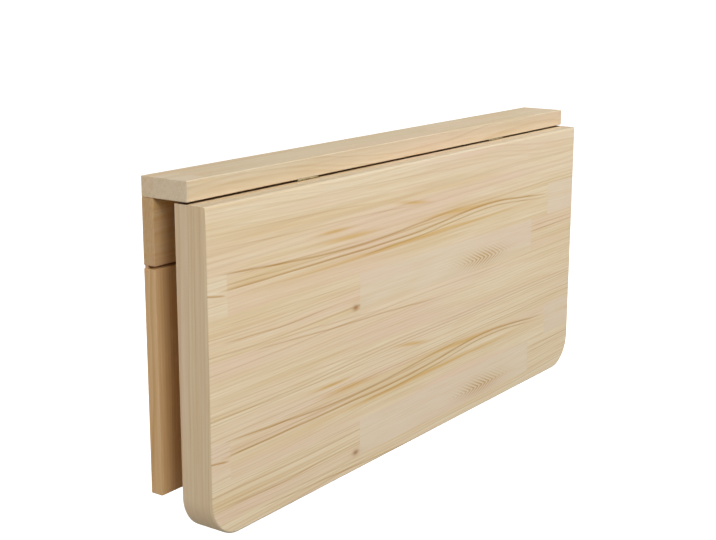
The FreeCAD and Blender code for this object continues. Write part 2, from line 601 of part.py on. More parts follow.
def save_hinges():
    """Both butt hinges with their pins and screws."""
    for (name, _), centre in zip(SIDES, HINGE_CENTRES):
        save(name + "_hinge_shelf_plate", hinge_plate(centre, 1))
        save(name + "_hinge_leaf_plate", hinge_plate(centre, -1))
        save(name + "_hinge_pin", hinge_pin(centre))
    for name, side in (("hinge_shelf_screws", 1), ("hinge_leaf_screws", -1)):
        save(name, [s for c in HINGE_CENTRES for s in screws(HINGE_SCREW, hinge_screw_seats(c, side))])


def save_leaf():
    """Leaf board, its battens, and the brackets that carry the stay."""
    ring = batten_ring()
    save("leaf_board", leaf_board())
    save("leaf_top_batten", top_batten(ring))
    save("leaf_bottom_batten", long_batten(ring, LEAF_BOTTOM))
    save("batten_screws", screws(BATTEN_SCREW, all_batten_seats()))
    for name, side in SIDES:
        save("leaf_" + name + "_batten", side_batten(ring, side))
        save(name + "_stay_bracket", stay_bracket(side))
        save(name + "_pivot_pin", pivot_pin(side))
    save("stay_bracket_screws", [s for _, d in SIDES for s in screws(BRACKET_SCREW, bracket_screw_seats(d))])


def save_stay():
    """Stay frame and its two slide bolts."""
    save("stay_rail", stay_rail())
    save("stay_dowels", stay_dowels_at(-1) + stay_dowels_at(1))
    for name, side in SIDES:
        save(name + "_stay_arm", stay_arm(side))
        save(name + "_slide_bolt", slide_bolt(side))


os.makedirs("parts", exist_ok=True)
save_wall_side()
save_hinges()
save_leaf()
save_stay()
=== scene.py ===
"""Wall mounted drop leaf table in pale edge-glued pine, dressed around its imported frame.

The wall is the plane y = 0, the table stands out towards -Y, X runs along it and Z is
up. Sizes are metres. Boards are made here as fine meshes whose faces know which stave
they belong to, and the pine finish grows its rings through each stave.
"""

import logging
import math
import random
from dataclasses import dataclass
from enum import Enum
from typing import Callable, ClassVar, Iterable, Optional, Sequence

import bmesh
import bpy
from bmesh.types import BMEdge, BMesh, BMFace, BMVert
from bpy.types import ID, Material, Mesh, Node, NodeSocket, Object
from mathutils import Matrix, Vector

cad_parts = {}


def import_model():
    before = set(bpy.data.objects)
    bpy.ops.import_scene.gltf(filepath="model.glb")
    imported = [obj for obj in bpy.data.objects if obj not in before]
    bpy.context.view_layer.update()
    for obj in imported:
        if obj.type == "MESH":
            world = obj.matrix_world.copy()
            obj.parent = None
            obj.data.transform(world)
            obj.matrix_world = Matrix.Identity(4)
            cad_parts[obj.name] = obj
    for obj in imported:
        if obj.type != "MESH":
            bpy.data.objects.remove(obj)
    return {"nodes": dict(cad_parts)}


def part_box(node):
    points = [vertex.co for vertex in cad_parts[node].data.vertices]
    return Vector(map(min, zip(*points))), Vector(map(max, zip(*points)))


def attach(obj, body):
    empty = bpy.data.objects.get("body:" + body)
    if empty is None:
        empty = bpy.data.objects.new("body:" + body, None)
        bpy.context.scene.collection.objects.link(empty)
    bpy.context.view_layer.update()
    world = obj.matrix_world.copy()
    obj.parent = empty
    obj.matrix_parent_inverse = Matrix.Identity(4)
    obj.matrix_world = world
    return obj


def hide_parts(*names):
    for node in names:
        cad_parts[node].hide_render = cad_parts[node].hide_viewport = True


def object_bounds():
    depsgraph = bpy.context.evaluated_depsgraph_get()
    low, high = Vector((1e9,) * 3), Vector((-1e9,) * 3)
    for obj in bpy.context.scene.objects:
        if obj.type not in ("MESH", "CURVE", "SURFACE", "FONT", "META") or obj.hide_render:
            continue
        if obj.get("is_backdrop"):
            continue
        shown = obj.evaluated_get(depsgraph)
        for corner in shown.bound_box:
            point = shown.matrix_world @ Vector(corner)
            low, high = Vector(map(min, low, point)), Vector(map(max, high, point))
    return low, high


LOG = logging.getLogger("drop_leaf_table")
MM = 0.001
QUARTER = 0.5 * math.pi
AXES = range(3)
X, Y, Z = AXES
STAVE = "stave"
EDGE_UV = "edge_run"
SAME = 1e-7  # places nearer than this are one place
WELD = 1e-6  # a cut takes over points that lie nearer than this
AT_END = 1e-5  # points nearer than this to a screw's end belong to that end
SHARP = math.radians(38.0)  # edges that turn further than this aren't shaded round
FACES_UP = 0.5  # the normals of a board's top rise more than this
NOISE_MEAN = 0.5
WHITE = (1.0, 1.0, 1.0, 1.0)
MIX_FACTOR, MIX_LOW, MIX_HIGH, MIX_RESULT = 0, 6, 7, 2  # the Mix node's sockets for colours


# ---- shader writing
def operators(operation: str) -> tuple[Callable, Callable]:
    """Forward and reflected methods of the Python operator for one Math node."""
    return (lambda self, other: self._math(operation, self, other),
            lambda self, other: self._math(operation, other, self))


def unary(operation: str) -> Callable:
    """Method that adds the Math node of one number."""
    return lambda self: self._math(operation, self)


class Num:
    """A number socket whose Python operators add Math nodes."""

    def __init__(self, tree: "Shader", socket: NodeSocket) -> None:
        """Wrap one output socket of the tree."""
        self.tree = tree
        self.socket = socket

    def _math(self, operation: str, *values: object) -> "Num":
        """Add one Math node and wrap its result."""
        node = self.tree.add("ShaderNodeMath", {"operation": operation}, dict(enumerate(values)))
        return Num(self.tree, node.outputs[0])

    __add__, __radd__ = operators("ADD")
    __sub__, __rsub__ = operators("SUBTRACT")
    __mul__, __rmul__ = operators("MULTIPLY")
    __truediv__, __rtruediv__ = operators("DIVIDE")

    floor, fract, root, abs = map(unary, ("FLOOR", "FRACT", "SQRT", "ABSOLUTE"))

    def bell(self) -> "Num":
        """Smooth hump, 1 at zero and falling away on both sides."""
        return self._math("EXPONENT", self * self * -1.0)

    def step(self, low: float, high: float) -> "Num":
        """Smooth rise from 0 at low to 1 at high."""
        node = self.tree.add("ShaderNodeMapRange", {"interpolation_type": "SMOOTHSTEP"},
                             {"Value": self, "From Min": low, "From Max": high})
        return Num(self.tree, node.outputs[0])


class Shader:
    """One material's node tree, with short ways to add to it."""

    def __init__(self, name: str) -> None:
        """Start an empty tree with a Principled surface."""
        self.material = bpy.data.materials.new(name)
        self.material.use_nodes = True
        self.nodes = self.material.node_tree.nodes
        self.links = self.material.node_tree.links
        self.nodes.clear()
        self.surface = self.nodes.new("ShaderNodeBsdfPrincipled")
        output = self.nodes.new("ShaderNodeOutputMaterial")
        self.links.new(self.surface.outputs[0], output.inputs["Surface"])

    def add(self, kind: str, settings: Optional[dict] = None, inputs: Optional[dict] = None) -> Node:
        """Add a node.

        Args:
            kind: Blender's node type name.
            settings: Attributes set on the node before its sockets.
            inputs: Values or links by socket name or index.

        Returns:
            The new node.
        """
        node = self.nodes.new(kind)
        for key, value in (settings or {}).items():
            setattr(node, key, value)
        for key, value in (inputs or {}).items():
            self.put(node.inputs[key], value)
        return node

    def put(self, socket: NodeSocket, value: object) -> None:
        """Link a socket, or set its own value."""
        source = value.socket if isinstance(value, Num) else value
        if isinstance(source, NodeSocket):
            self.links.new(source, socket)
        else:
            socket.default_value = source

    def split(self, kind: str, value: NodeSocket) -> tuple[Num, ...]:
        """The numbers that a point or a colour is made of."""
        return tuple(Num(self, out) for out in self.add(kind, inputs={0: value}).outputs)

    def object_axes(self) -> tuple[Num, ...]:
        """The point's X, Y and Z in the table's own frame."""
        return self.split("ShaderNodeSeparateXYZ", self.add("ShaderNodeTexCoord").outputs["Object"])

    def noise(self, x: object, y: object, z: object, detail: float, rough: float = 0.5) -> Num:
        """Noise about 0.5 at a point whose axes are already scaled."""
        place = self.add("ShaderNodeCombineXYZ", inputs={0: x, 1: y, 2: z})
        facts = {"Vector": place.outputs[0], "Scale": 1.0, "Detail": detail, "Roughness": rough}
        node = self.add("ShaderNodeTexNoise", {"noise_dimensions": "3D"}, facts)
        return Num(self, node.outputs[0])

    def chance(self, value: Num) -> Num:
        """An even random number for each value."""
        node = self.add("ShaderNodeTexWhiteNoise", {"noise_dimensions": "1D"}, {"W": value})
        return Num(self, node.outputs[0])

    def mix(self, factor: object, low: object, high: object) -> NodeSocket:
        """Mix two colours."""
        node = self.add("ShaderNodeMix", {"data_type": "RGBA"},
                        {MIX_FACTOR: factor, MIX_LOW: low, MIX_HIGH: high})
        return node.outputs[MIX_RESULT]

    def bump(self, height: Num, distance: float, strength: float) -> None:
        """Feed the surface's normal from a height."""
        node = self.add("ShaderNodeBump",
                        inputs={"Height": height, "Distance": distance, "Strength": strength})
        self.put(self.surface.inputs["Normal"], node.outputs[0])

    def finish(self, inputs: dict) -> Material:
        """Set the surface's sockets by name and return the material."""
        for key, value in inputs.items():
            self.put(self.surface.inputs[key], value)
        return self.material


def rgb(red: int, green: int, blue: int) -> tuple[float, float, float, float]:
    """Screen colour, 0 to 255, as the linear colour that a socket takes."""
    def linear(level: int) -> float:
        """One channel, by the sRGB curve."""
        part = level / 255.0
        return part / 12.92 if part <= 0.04045 else ((part + 0.055) / 1.055) ** 2.4
    return linear(red), linear(green), linear(blue), 1.0


def late_wood(turn: Num, soft: tuple, sharp: tuple) -> Num:
    """Dark side of a growth ring, which rises softly and falls away sharply."""
    return turn.step(*soft) * (1.0 - turn.step(*sharp))


# ---- finishes
class Grain(Enum):
    """Which way a board's fibres run."""

    ALONG = "x"
    UPRIGHT = "z"
    ROUND_EDGE = "edge"


@dataclass(frozen=True)
class Spot:
    """A mark with its middle placed along the stave pattern and down it."""

    along: float
    down: float

    def hump(self, along: Num, down: Num, length: float, width: float) -> Num:
        """One at the middle, falling to nothing round it."""
        x = (along - self.along) / length
        y = (down - self.down) / width
        return (x * x + y * y).root().bell()


@dataclass(frozen=True)
class Knot(Spot):
    """A small pin knot."""

    radius: float

    def mask(self, along: Num, down: Num) -> Num:
        """The knot itself."""
        return self.hump(along, down, length=self.radius * 1.7, width=self.radius)

    def halo(self, along: Num, down: Num) -> Num:
        """Wider mark, drawn out along the fibres that flow round the knot."""
        return self.hump(along, down, length=self.radius * 7.0, width=self.radius * 2.6)


@dataclass(frozen=True)
class GrowthLine:
    """One dark line of late wood that drifts across a stave.

    Attributes:
        down: Depth of its lower run in the stave pattern.
        slope: Fall per metre along the board.
        hump: Rise of its one bow, negative where it sags.
        crest: Place of the bow's middle along the board.
        spread: Half length of the bow.
        start: Where the line begins.
        end: Where the line ends.
        width: Breadth of the line's soft side.
        strength: Darkness from 0 to 1.
        fade: Length over which the line dies away before its end.
        begin: How far before and after its start the line comes up.
        soft: Rise of its soft side, in widths.
        sharp: Fall of its sharp side, in widths.
    """

    down: float
    slope: float
    hump: float
    crest: float
    spread: float
    start: float
    end: float
    width: float
    strength: float
    fade: float = 0.09
    begin: ClassVar[tuple] = (0.02, 0.03)
    soft: ClassVar[tuple] = (-1.0, -0.05)
    sharp: ClassVar[tuple] = (0.0, 0.35)

    def mask(self, along: Num, down: Num) -> Num:
        """Soft above and sharp below, as late wood is."""
        bow = ((along - self.crest) / self.spread).bell() * self.hump
        away = (down - self.down - along * self.slope + bow) / self.width
        begun = along.step(self.start - self.begin[0], self.start + self.begin[1])
        run = begun * (1.0 - along.step(self.end - self.fade, self.end + self.fade / 3.0))
        return late_wood(away, self.soft, self.sharp) * run * self.strength


@dataclass(frozen=True)
class Streak(Spot):
    """A long soft patch of resin colour."""

    length: float
    width: float
    slope: float = 0.0

    def mask(self, along: Num, down: Num) -> Num:
        """The patch, tilted by its slope."""
        level = down - (along - self.along) * self.slope
        return self.hump(along, level, self.length, self.width)


@dataclass(frozen=True)
class Cathedral(Spot):
    """Nested arrowheads where a flat-sawn stave cuts the tops of its rings."""

    length: float
    width: float
    pitch: float = 0.0125
    flare: float = 2.2
    soft: ClassVar[tuple] = (0.15, 0.75)
    sharp: ClassVar[tuple] = (0.85, 1.0)

    def mask(self, along: Num, down: Num) -> Num:
        """Fine lines inside a soft oval."""
        turn = ((along + (down - self.down).abs() * self.flare) / self.pitch).fract()
        oval = self.hump(along, down, self.length, self.width)
        return late_wood(turn, self.soft, self.sharp) * oval


@dataclass(frozen=True)
class Pattern:
    """Features of one repeat of the leaf's glued-up staves, measured down from its first row.

    The same run of staves comes round every four rows.
    """

    top: float
    repeat: float = 0.220
    lines: tuple = (
        GrowthLine(0.0765, 0.000, 0.0155, 0.192, 0.165, -0.468, 0.400, 0.0036, 0.95),
        GrowthLine(0.0842, 0.000, 0.0165, 0.205, 0.175, -0.160, 0.385, 0.0028, 0.70),
        GrowthLine(0.0700, 0.000, 0.0110, 0.150, 0.190, -0.468, 0.060, 0.0026, 0.45),
        GrowthLine(0.0520, 0.000, -0.0160, -0.190, 0.230, -0.468, 0.110, 0.0032, 0.80),
        GrowthLine(0.0600, 0.000, -0.0030, -0.150, 0.200, -0.440, -0.120, 0.0022, 0.40),
        GrowthLine(0.1530, 0.150, 0.0000, 0.000, 0.100, -0.530, -0.464, 0.0032, 0.90, 0.012),
        GrowthLine(0.1435, 0.000, -0.0040, -0.350, 0.080, -0.463, -0.235, 0.0028, 0.60),
        GrowthLine(0.1230, 0.000, 0.0020, -0.350, 0.100, -0.463, -0.190, 0.0022, 0.25),
        GrowthLine(0.1260, -0.004, 0.0010, 0.400, 0.100, 0.344, 0.520, 0.0026, 0.50),
        GrowthLine(0.1370, -0.010, 0.0010, 0.400, 0.100, 0.344, 0.520, 0.0026, 0.45),
        GrowthLine(0.1865, 0.046, 0.0000, 0.000, 0.100, -0.400, 0.045, 0.0028, 0.60),
        GrowthLine(0.1790, 0.040, 0.0020, -0.300, 0.120, -0.470, -0.100, 0.0024, 0.30),
        GrowthLine(0.2080, 0.010, 0.0030, -0.200, 0.150, -0.440, 0.150, 0.0024, 0.20),
        GrowthLine(0.0180, 0.030, 0.0030, -0.250, 0.150, -0.500, -0.120, 0.0026, 0.30),
        GrowthLine(0.0330, 0.024, 0.0020, -0.150, 0.120, -0.500, 0.000, 0.0024, 0.30),
        GrowthLine(0.0150, -0.020, 0.0040, 0.250, 0.150, 0.050, 0.500, 0.0024, 0.20),
    )
    streaks: tuple = (
        Streak(-0.195, 0.0520, 0.062, 0.0036, 0.01),
        Streak(-0.032, 0.0265, 0.042, 0.0030, 0.13),
        Streak(-0.235, 0.0380, 0.040, 0.0026, 0.02),
        Streak(0.110, 0.0580, 0.120, 0.0040, 0.02),
        Streak(0.000, 0.0830, 0.330, 0.0030, -0.01),
    )
    knots: tuple = (Knot(-0.1830, 0.1575, 0.0042),)
    cathedrals: tuple = (Cathedral(0.178, 0.149, 0.064, 0.0130),)


@dataclass(frozen=True)
class Fleck:
    """Noise drawn out along the grain, in patches per metre along and across it."""

    along: float
    across: float
    detail: float = 1.0
    rough: float = 0.5
    start: float = 0.0

    def grow(self, shader: Shader, along: Num, across: Num, deep: Num) -> Num:
        """The noise at a point."""
        return shader.noise(along * self.along + self.start, across * self.across,
                            deep * self.across, self.detail, self.rough)


SWAY = Fleck(2.1, 9.0)
RIPPLE = Fleck(9.0, 60.0, 2.0)
FIBRE = Fleck(12.0, 430.0, 3.0, 0.65)
STREAK = Fleck(2.6, 150.0, 3.0, 0.6)
CLOUD = Fleck(1.5, 14.0)
BLUSH = Fleck(2.2, 24.0, start=9.0)
RESIN = Fleck(4.0, 80.0, start=4.0)


# How far each feature of pine tells; a pair is the range over which it comes up.
SWAY_ASIDE, SWAY_DEEP, SWAY_RING = 0.034, 0.012, 0.010
RIPPLE_ASIDE, RIPPLE_DOWN = 0.0024, 0.0030
UNEVEN_PITCH, UNEVEN = 85.0, 2.4
RING_SOFT, RING_SHARP = (0.35, 0.92), (0.93, 1.0)
RING_LEAST, RING_CHANCE, RING_DARK = 0.20, 0.70, 0.82
LINE_LEAST, LINE_STREAK, LINE_DARK, LINE_RESIN = 0.65, 0.6, 0.76, 0.50
HALO_DARK, HEART_DARK, MILK = 0.10, 0.8, 1.3
SPOTS, SPOT, SPOT_BESIDE = (0.62, 0.78), 0.5, 0.6
PATCH_LEAST, PATCH_FIBRE = 0.6, 1.4
CLOUD_FROM, STREAK_WARM, FIBRE_FROM = 0.28, 1.6, 0.37
BLUSHES, BLUSH_PINK, RESIN_TONE = (0.42, 0.72), 0.7, 0.62
RELIEF, RELIEF_DEPTH, RELIEF_STRENGTH = (0.5, -0.2, 0.3), 0.00013, 0.6
ROUGH, ROUGH_FIBRE, ROUGH_RING, SHINE = 0.52, 0.10, 0.06, 0.30


@dataclass(frozen=True)
class Pine:
    """Pale lacquered pine, cut at some depth from the heart of its trunk."""

    name: str
    grain: Grain
    pale: tuple = rgb(229, 209, 176)
    warm: tuple = rgb(211, 179, 130)
    pink: tuple = rgb(229, 205, 178)
    milk: tuple = rgb(233, 216, 194)
    late: tuple = rgb(186, 138, 68)
    resin: tuple = rgb(222, 178, 98)
    heart: tuple = rgb(168, 112, 62)
    ring: float = 0.0046
    taper: float = 0.011
    contrast: float = 1.0
    staves: bool = False
    pattern: Optional[Pattern] = None
    seed: float = 0.37
    face: float = -0.1
    heart_aside: float = 0.10
    heart_depth: tuple = (0.018, 0.070)

    def frame_axes(self, shader: Shader) -> tuple[Num, Num, Num]:
        """Coordinates along the grain, across it and into the board."""
        if self.grain is Grain.ROUND_EDGE:
            run = shader.add("ShaderNodeUVMap", {"uv_map": EDGE_UV}).outputs[0]
            return shader.split("ShaderNodeSeparateXYZ", run)
        x, y, z = shader.object_axes()
        return (x, z, y) if self.grain is Grain.ALONG else (z, x, y)

    def stave_facts(self, shader: Shader) -> tuple[object, object, object, object]:
        """Seed, centre line, tone and ring strength of the stave that a face belongs to."""
        if not self.staves:
            return self.seed, 0.0, 0.0, self.contrast
        node = shader.add("ShaderNodeAttribute", {"attribute_name": STAVE})
        seed, centre, tone = shader.split("ShaderNodeSeparateColor", node.outputs["Color"])
        return seed, centre, tone, Num(shader, node.outputs["Alpha"]) * self.contrast

    def heart_place(self, seed: object) -> tuple[object, object]:
        """How far the tree's heart lies aside of the stave and behind its face."""
        fract = Num.fract if isinstance(seed, Num) else lambda value: value % 1.0
        least, spread = self.heart_depth
        return (fract(seed * 7.31) - 0.5) * self.heart_aside, fract(seed * 3.77) * spread + least

    def features(self, shader: Shader, along: Num, across: Num, ripple: Num) -> tuple:
        """Masks of the pattern's lines, resin, hearts and halos."""
        plan = self.pattern
        down = ((plan.top - across) / plan.repeat).fract() * plan.repeat + ripple * RIPPLE_DOWN
        total = [sum((item.mask(along, down) for item in group[1:]), group[0].mask(along, down))
                 for group in (plan.lines + plan.cathedrals, plan.streaks, plan.knots)]
        halo = plan.knots[0].halo(along, down)
        return (*total, halo)

    def build(self) -> Material:
        """Grow rings through the board and colour them.

        The factors on the seed only set one stave apart from the next.
        """
        shader = Shader(self.name)
        along, across, deep = self.frame_axes(shader)
        seed, centre, tone, strength = self.stave_facts(shader)
        shift = along + seed * 37.0
        sway, ripple, fibre, streak, cloud, blush, spots = (
            fleck.grow(shader, shift, across, deep)
            for fleck in (SWAY, RIPPLE, FIBRE, STREAK, CLOUD, BLUSH, RESIN))
        sway = sway - NOISE_MEAN
        ripple = ripple - NOISE_MEAN
        side, depth = self.heart_place(seed)
        off = across - centre - side + sway * SWAY_ASIDE + ripple * RIPPLE_ASIDE
        down = deep - self.face + depth + sway * SWAY_DEEP
        radius = (off * off + down * down).root() + along * self.taper + sway * SWAY_RING
        uneven = shader.noise(radius * UNEVEN_PITCH, seed * 91.0, 0.0, 1.0)
        phase = radius / self.ring + seed * 11.0 + uneven * UNEVEN
        pick = shader.chance(phase.floor() + seed * 53.0)
        line = (late_wood(phase.fract(), RING_SOFT, RING_SHARP)
                * (RING_LEAST + pick * pick * pick * RING_CHANCE) * strength)
        resin = spots.step(*SPOTS) * SPOT
        marks = line * RING_DARK
        if self.pattern is not None:
            lines, patches, hearts, halos = self.features(shader, along, across, ripple)
            grainy = LINE_LEAST + streak * LINE_STREAK
            marks = marks + lines * grainy * LINE_DARK + halos * HALO_DARK
            resin = (resin * SPOT_BESIDE + lines * LINE_RESIN
                     + patches * (PATCH_LEAST + fibre * PATCH_FIBRE))
        warmth = cloud - CLOUD_FROM + (streak - NOISE_MEAN) * STREAK_WARM - tone
        colour = shader.mix(warmth, self.pale, self.warm)
        colour = shader.mix(blush.step(*BLUSHES) * BLUSH_PINK, colour, self.pink)
        if self.staves:
            colour = shader.mix(tone * MILK, colour, self.milk)
        colour = shader.mix(resin * RESIN_TONE, colour, self.resin)
        colour = shader.mix(marks, colour, self.late)
        colour = shader.mix(fibre - FIBRE_FROM, colour, self.warm)
        if self.pattern is not None:
            colour = shader.mix(hearts * HEART_DARK, colour, self.heart)
        fibres, dents, ridges = RELIEF
        height = fibre * fibres + marks * dents + streak * ridges
        shader.bump(height, RELIEF_DEPTH, RELIEF_STRENGTH)
        rough = ROUGH + (fibre - NOISE_MEAN) * ROUGH_FIBRE - line * ROUGH_RING
        return shader.finish({"Base Color": colour, "Roughness": rough, "Specular IOR Level": SHINE})


@dataclass(frozen=True)
class Metal:
    """Plain or plated steel with faint wear."""

    name: str
    colour: tuple
    dark: tuple
    rough: float
    brushed: float = 0.0
    wear: float = 0.22

    def build(self) -> Material:
        """Make the metal."""
        shader = Shader(self.name)
        x, y, z = shader.object_axes()
        mottle = shader.noise(x * 90.0, y * 90.0, z * 90.0, 3.0)
        brush = shader.noise(x * 40.0, y * 2600.0, z * 2600.0, 2.0)
        colour = shader.mix(mottle.step(0.35, 0.75), self.colour, self.dark)
        rough = self.rough + (mottle - NOISE_MEAN) * self.wear + (brush - NOISE_MEAN) * self.brushed
        shader.bump(brush * 0.6 + mottle * 0.4, 0.00004, 0.5)
        return shader.finish({"Base Color": colour, "Roughness": rough, "Metallic": 1.0})


@dataclass(frozen=True)
class Stage:
    """The pale floor."""

    name: str
    level: float
    glow: float

    def build(self) -> Material:
        """Make an even matt surface with a trace of tooth and a faint glow."""
        shader = Shader(self.name)
        x, y, z = shader.object_axes()
        tooth = shader.noise(x * 300.0, y * 300.0, z, 2.0)
        shader.bump(tooth, 0.0001, 0.1)
        return shader.finish({"Base Color": (self.level, self.level, self.level, 1.0),
                              "Roughness": 0.9, "Emission Color": WHITE,
                              "Emission Strength": self.glow})


# ---- staves and boards
@dataclass(frozen=True)
class Row:
    """One row of staves in a glued-up board.

    Attributes:
        low: Lower border across the board.
        high: Upper border across the board.
        joints: Places along the board where one stave ends and the next begins.
        tones: Paleness of each stave, with 0 the mean.
        rings: Strength of the ring lines of each stave.
    """

    low: float
    high: float
    joints: tuple
    tones: tuple
    rings: tuple

    def index(self, along: float) -> int:
        """Which stave of the row lies at a place along the board."""
        return sum(1 for joint in self.joints if along > joint)


def stave_seed(row: int, index: int) -> float:
    """Fixed random number of one stave, from a seed that no other stave of a board has."""
    return random.Random(row * 97 + index * 13 + 26).random()


def paint_staves(mesh: Mesh, rows: Sequence[Row], axis: int) -> None:
    """Write each face's stave on its corners.

    Args:
        mesh: Board already cut along the borders of its staves.
        rows: The board's rows.
        axis: The axis across the rows.
    """
    layer = mesh.color_attributes.new(STAVE, "FLOAT_COLOR", "CORNER")
    for face in mesh.polygons:
        here = face.center[axis]
        number = min(range(len(rows)), key=lambda k: abs(here - (rows[k].low + rows[k].high) / 2.0)
                     - (rows[k].high - rows[k].low) / 2.0)
        row = rows[number]
        part = row.index(face.center.x)
        colour = (stave_seed(number, part), (row.low + row.high) / 2.0, row.tones[part],
                  row.rings[part])
        for corner in face.loop_indices:
            layer.data[corner].color = colour


def slice_faces(work: BMesh, faces: Iterable[BMFace], axis: int, place: float) -> None:
    """Cut faces of a surface where they pass one place on an axis."""
    faces = list(faces)
    verts = dict.fromkeys(v for f in faces for v in f.verts)
    edges = dict.fromkeys(e for f in faces for e in f.edges)
    normal = Vector([float(k == axis) for k in AXES])
    bmesh.ops.bisect_plane(work, geom=[*verts, *edges, *faces], plane_co=normal * place,
                           plane_no=normal, dist=WELD)


def cut_staves(work: BMesh, rows: Sequence[Row], axis: int) -> None:
    """Cut a board's surface along the borders between rows, and at each row's joints."""
    for row in rows[1:]:
        slice_faces(work, work.faces, axis, row.low)
    for row in rows:
        for joint in row.joints:
            faces = [f for f in work.faces if row.low < f.calc_center_median()[axis] < row.high]
            slice_faces(work, faces, X, joint)


@dataclass
class Slab:
    """A flat board cut from an (x, z) outline and eased, but not on its plain sides."""

    outline: list
    front: float
    back: float
    front_radius: float
    back_radius: float
    segments: int = 4
    plain: tuple = ()

    def shape(self) -> BMesh:
        """Extrude the outline and round its front and back edges."""
        work = bmesh.new()
        verts = [work.verts.new((x, self.front, z)) for x, z in self.outline]
        face = work.faces.new(verts)
        moved = bmesh.ops.extrude_face_region(work, geom=[face])
        shift = Vector((0.0, self.back - self.front, 0.0))
        back = [g for g in moved["geom"] if isinstance(g, BMVert)]
        bmesh.ops.translate(work, verts=back, vec=shift)
        bmesh.ops.recalc_face_normals(work, faces=work.faces)
        for place, radius in ((self.front, self.front_radius), (self.back, self.back_radius)):
            edges = [e for e in work.edges if self.eased(e, place)]
            bmesh.ops.bevel(work, geom=edges, offset=radius, segments=self.segments, profile=0.5,
                            affect="EDGES", clamp_overlap=True)
        return work

    def eased(self, edge: BMEdge, place: float) -> bool:
        """True for an outline edge in the given plane that isn't on a plain side."""
        if any(abs(v.co.y - place) > SAME for v in edge.verts):
            return False
        return not any(all(abs(v.co.x - x) < SAME for v in edge.verts) for x in self.plain)


def add_object(name: str, data: ID) -> Object:
    """Put a new object into the scene, at the origin."""
    thing = bpy.data.objects.new(name, data)
    bpy.context.scene.collection.objects.link(thing)
    return thing


def settle(work: BMesh, mesh: Mesh) -> Mesh:
    """Write a working mesh to its mesh, shaded smooth between its sharp edges, and free it."""
    for edge in work.edges:
        edge.smooth = len(edge.link_faces) == 2 and edge.calc_face_angle(0.0) < SHARP
    work.to_mesh(mesh)
    work.free()
    mesh.polygons.foreach_set("use_smooth", [True] * len(mesh.polygons))
    return mesh


def to_object(name: str, work: BMesh, *materials: Material) -> Object:
    """Turn a working mesh into an object with its finishes."""
    piece = add_object(name, settle(work, bpy.data.meshes.new(name)))
    for material in materials:
        piece.data.materials.append(material)
    return piece


def skin(work: BMesh, rings: Sequence[list]) -> None:
    """Span faces between rings that have the same number of points."""
    for inner, outer in zip(rings, rings[1:]):
        for k in range(len(inner)):
            work.faces.new((inner[k - 1], outer[k - 1], outer[k], inner[k]))


def corners(points: Sequence[Vector]) -> tuple[Vector, Vector]:
    """Lowest and highest corners of the box round some points."""
    low, high = (Vector([pick(p[k] for p in points) for k in AXES]) for pick in (min, max))
    return low, high


def even_shading(piece: Object) -> None:
    """Keep flat faces flat beside their rounded edges."""
    weighted = piece.modifiers.new("even_shading", "WEIGHTED_NORMAL")
    weighted.weight = 100
    weighted.keep_sharp = True


def arc(centre: tuple, radius: float, start: float, steps: int) -> list:
    """Points of a quarter turn about a centre, from a starting angle on."""
    return [(centre[0] + radius * math.cos(turn), centre[1] + radius * math.sin(turn))
            for turn in (start + QUARTER * step / steps for step in range(steps + 1))]


def rounded_outline(half: float, low: float, high: float, radius: float, steps: int) -> list:
    """Outline of the leaf, square above and round at its lower corners, as (x, z) pairs."""
    middle, level = half - radius, low + radius
    return [(-half, high), *arc((-middle, level), radius, math.pi, steps),
            *arc((middle, level), radius, 3.0 * QUARTER, steps), (half, high)]


